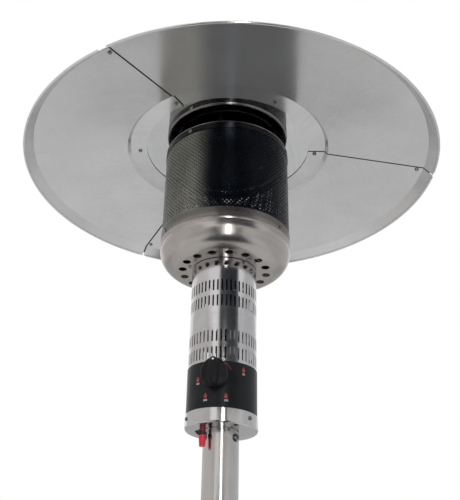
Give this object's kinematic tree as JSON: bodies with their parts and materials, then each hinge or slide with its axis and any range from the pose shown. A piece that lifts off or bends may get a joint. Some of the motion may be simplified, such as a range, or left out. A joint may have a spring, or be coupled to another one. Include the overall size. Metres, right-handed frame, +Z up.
{
  "type": "mushroom patio heater",
  "caption": "Free-standing gas patio heater: round steel reflector over a perforated emitter, slotted control head on a post, and a lift-up tank housing with wheels.",
  "frame": {"origin": "centre of the bounding box's bottom face, on the floor under the post", "axes": "+Z up along the post, -Y towards the control knob, +Y towards the wheels, +X to the knob's right-hand side seen from behind"},
  "size_m": [0.8127, 0.8126, 2.2043],
  "materials": {
    "black_clip": "black sprung steel clip",
    "black_enamel": "matt black heat-proof enamel on perforated sheet",
    "black_plastic": "satin black moulded plastic",
    "brass": "machined brass",
    "bushing": "black nylon guide ring",
    "ceramic": "glazed ceramic insulator",
    "copper_pipe": "drawn aluminium pipe",
    "dark_red": "dark red lacquered brass hose stub",
    "gloss_black": "gloss black lacquer with printed marks",
    "grey_coat": "dark grey powder coat",
    "heated_steel": "spun stainless steel, warm heat tint",
    "iron": "oxidised cast iron",
    "lead": "silicone ignition lead",
    "mirror_steel": "polished stainless sheet, mirror bright",
    "red_cap": "bright red dust cap",
    "stainless": "brushed and polished stainless steel sheet",
    "tyre": "black moulded wheel",
    "zinc": "zinc plated steel hardware"
  },
  "bodies": {
    "heater": {"axle_caps": "black_plastic", "base_pan": "stainless", "bottom_cup": "stainless", "bowl_screws": "zinc", "bracket_bolts": "zinc", "burner_bowl": "heated_steel", "burner_head": "iron", "burner_plate": "heated_steel", "control_band": "gloss_black", "control_housing": "stainless", "cup_screws": "zinc", "dome_nuts": "zinc", "emitter_lid": "heated_steel", "emitter_screen": "black_enamel", "gas_inlet": "dark_red", "gas_valve": "brass", "housing_collar": "zinc", "housing_screws": "zinc", "igniter": "black_plastic", "ignition_lead": "lead", "injector": "brass", "inlet_cap": "red_cap", "inlet_clamp": "black_clip", "mixing_tube": "heated_steel", "outlet_tube": "copper_pipe", "pilot_bracket": "zinc", "pilot_hood": "heated_steel", "pilot_tube": "copper_pipe", "post": "stainless", "post_bolts": "zinc", "post_flange": "grey_coat", "post_spigot": "zinc", "reflector_centre_plate": "mirror_steel", "reflector_nuts": "zinc", "reflector_panel_1": "stainless", "reflector_panel_2": "stainless", "reflector_panel_3": "stainless", "reflector_screws": "zinc", "reflector_studs": "zinc", "spark_electrode": "ceramic", "spigot_screws": "zinc", "supply_tube": "copper_pipe", "support_bracket_1": "grey_coat", "support_bracket_2": "grey_coat", "support_bracket_3": "grey_coat", "thermocouple": "zinc", "tilt_switch": "brass", "valve_bracket": "zinc", "wheel_axle": "zinc", "wheel_bracket": "grey_coat"},
    "tank_cover": {"tank_housing": "stainless", "tank_housing_top": "stainless", "housing_bushing": "bushing", "housing_rivets": "zinc"},
    "valve_push": {"valve_plunger": "brass", "valve_spring": "zinc"},
    "knob": {"control_knob": "black_plastic", "valve_stem": "zinc"},
    "left_wheel": {"wheel_left": "tyre"},
    "right_wheel": {"wheel_right": "tyre"}
  },
  "joints": [
    {"name": "tank_cover_lift", "type": "slide", "parent": "heater", "child": "tank_cover", "axis": [0, 0, 1], "range_m": [0, 0.43]},
    {"name": "knob_push", "type": "slide", "parent": "heater", "child": "valve_push", "axis": [0, 1, 0], "range_m": [0, 0.005], "stiffness_N_per_m": 2500, "springref_m": -0.001},
    {"name": "knob_turn", "type": "hinge", "parent": "valve_push", "child": "knob", "pos_m": [0, -0.06, 1.688], "axis": [0, -1, 0], "range_deg": [0, 215]},
    {"name": "left_wheel_turn", "type": "hinge", "parent": "heater", "child": "left_wheel", "pos_m": [-0.095, 0.258, 0.044], "axis": [1, 0, 0], "continuous": true},
    {"name": "right_wheel_turn", "type": "hinge", "parent": "heater", "child": "right_wheel", "pos_m": [0.095, 0.258, 0.044], "axis": [1, 0, 0], "continuous": true}
  ]
}
